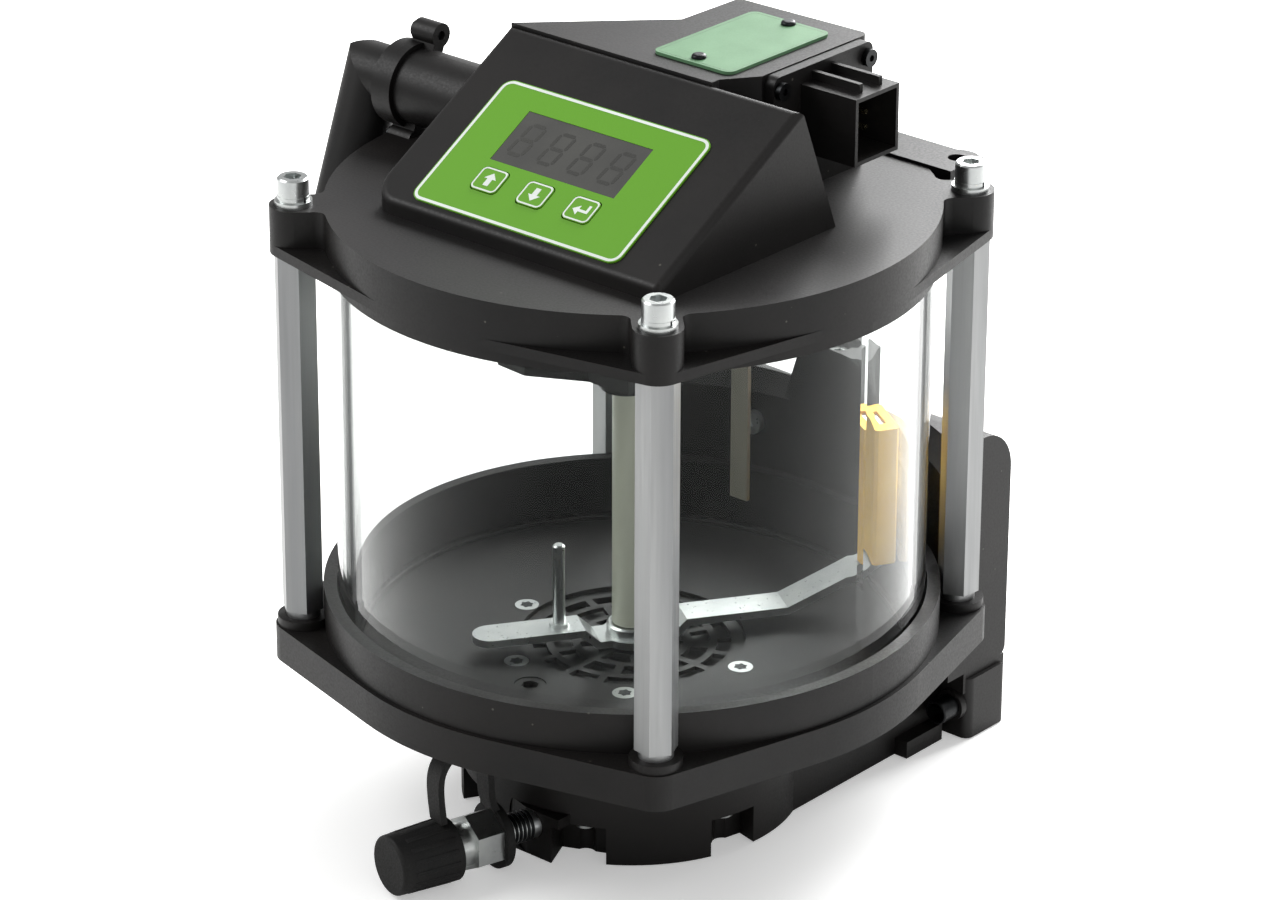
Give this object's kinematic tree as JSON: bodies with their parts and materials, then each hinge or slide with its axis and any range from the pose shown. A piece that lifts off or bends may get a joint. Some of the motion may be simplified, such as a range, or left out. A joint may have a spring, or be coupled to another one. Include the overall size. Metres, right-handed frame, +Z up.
{
  "type": "electric lubrication pump",
  "caption": "Electric grease pump: clear cylindrical reservoir between a black base and lid, sloped display hood, vent elbow, stirrer and rear bracket.",
  "frame": {"origin": "on the reservoir's axis, at the flat underside of the gear cover", "axes": "+Z up along the reservoir, -Y towards the display's front, +X towards the connector"},
  "size_m": [0.2228, 0.2306, 0.2537],
  "materials": {
    "black_plastic": "moulded satin black",
    "black_rubber": "matt black",
    "zinc_steel": "zinc plated",
    "rod_aluminium": "drawn and anodised",
    "clear_plastic": "clear",
    "label_green": "printed film",
    "plate_green": "printed foil",
    "smoked_window": "smoked",
    "display_grey": "matt",
    "board_green": "lacquered",
    "pin_brass": "tinned",
    "tube_plastic": "moulded",
    "bush_brass": "sintered",
    "motor_steel": "ground",
    "gear_plastic": "moulded",
    "key_green": "printed film",
    "wiper_yellow": "moulded"
  },
  "bodies": {
    "pump_body": {"gear_cover": "black_plastic", "cover_gasket": "black_rubber", "cover_screws": "zinc_steel", "gear_housing": "black_plastic", "lug_sleeves": "zinc_steel", "base_flange": "black_plastic", "floor_screws": "zinc_steel", "floor_plug": "black_plastic", "strainer_plate": "black_plastic", "tie_rods": "rod_aluminium", "reservoir_glass": "clear_plastic", "glass_seals": "black_rubber", "lid": "black_plastic", "lid_washers": "zinc_steel", "lid_cap_screws": "zinc_steel", "display_hood": "black_plastic", "hood_screws": "zinc_steel", "display_label": "label_green", "display_window": "smoked_window", "display_module": "display_grey", "circuit_board": "board_green", "nameplate": "plate_green", "nameplate_screws": "zinc_steel", "connector_receptacle": "black_plastic", "connector_pins": "pin_brass", "connector_screws": "zinc_steel", "vent_elbow": "black_plastic", "elbow_screws": "zinc_steel", "under_lid_housing": "black_plastic", "level_blade": "zinc_steel", "centre_tube": "tube_plastic", "shaft_bush_upper": "bush_brass", "shaft_bush_lower": "bush_brass", "shaft_seal": "black_rubber", "motor_can": "motor_steel", "motor_plate": "zinc_steel", "motor_screws": "zinc_steel", "idler_axle": "motor_steel", "pump_cylinder": "motor_steel", "pump_plunger": "motor_steel", "plunger_spring": "motor_steel", "outlet_fitting": "zinc_steel", "filler_coupler": "zinc_steel", "filler_strap": "black_rubber", "rear_bracket": "black_plastic", "bracket_screws": "zinc_steel", "tower_screw": "zinc_steel"},
    "stirrer": {"stirrer_arm": "zinc_steel", "stirrer_pin": "zinc_steel", "stirrer_nut": "zinc_steel", "wiper": "wiper_yellow", "drive_shaft": "motor_steel", "drive_gear": "gear_plastic", "eccentric": "motor_steel"},
    "idler": {"idler_gear": "gear_plastic"},
    "motor_rotor": {"motor_pinion": "motor_steel"},
    "up_key": {"button_up": "key_green"},
    "down_key": {"button_down": "key_green"},
    "enter_key": {"button_enter": "key_green"},
    "filler_cap": {"filler_cap": "black_rubber"}
  },
  "joints": [
    {"name": "stirrer_spin", "type": "hinge", "parent": "pump_body", "child": "stirrer", "pos_m": [0, 0, 0.06], "axis": [0, 0, 1], "continuous": true},
    {"name": "idler_spin", "type": "hinge", "parent": "pump_body", "child": "idler", "pos_m": [0, 0.055, 0.04], "axis": [0, 0, 1], "continuous": true},
    {"name": "motor_spin", "type": "hinge", "parent": "pump_body", "child": "motor_rotor", "pos_m": [0, 0.075, 0.04], "axis": [0, 0, 1], "continuous": true},
    {"name": "up_key_press", "type": "slide", "parent": "pump_body", "child": "up_key", "axis": [0, 0.5, -0.866], "range_m": [0, 0.0004], "stiffness_N_per_m": 2500},
    {"name": "down_key_press", "type": "slide", "parent": "pump_body", "child": "down_key", "axis": [0, 0.5, -0.866], "range_m": [0, 0.0004], "stiffness_N_per_m": 2500},
    {"name": "enter_key_press", "type": "slide", "parent": "pump_body", "child": "enter_key", "axis": [0, 0.5, -0.866], "range_m": [0, 0.0004], "stiffness_N_per_m": 2500},
    {"name": "filler_cap_pull", "type": "slide", "parent": "pump_body", "child": "filler_cap", "axis": [-0.2723, -0.9622, 0], "range_m": [0, 0.022]}
  ],
  "couplings": [
    {"joint": "idler_spin", "follows": "stirrer_spin", "ratio": -4.5},
    {"joint": "motor_spin", "follows": "stirrer_spin", "ratio": 4.5}
  ]
}
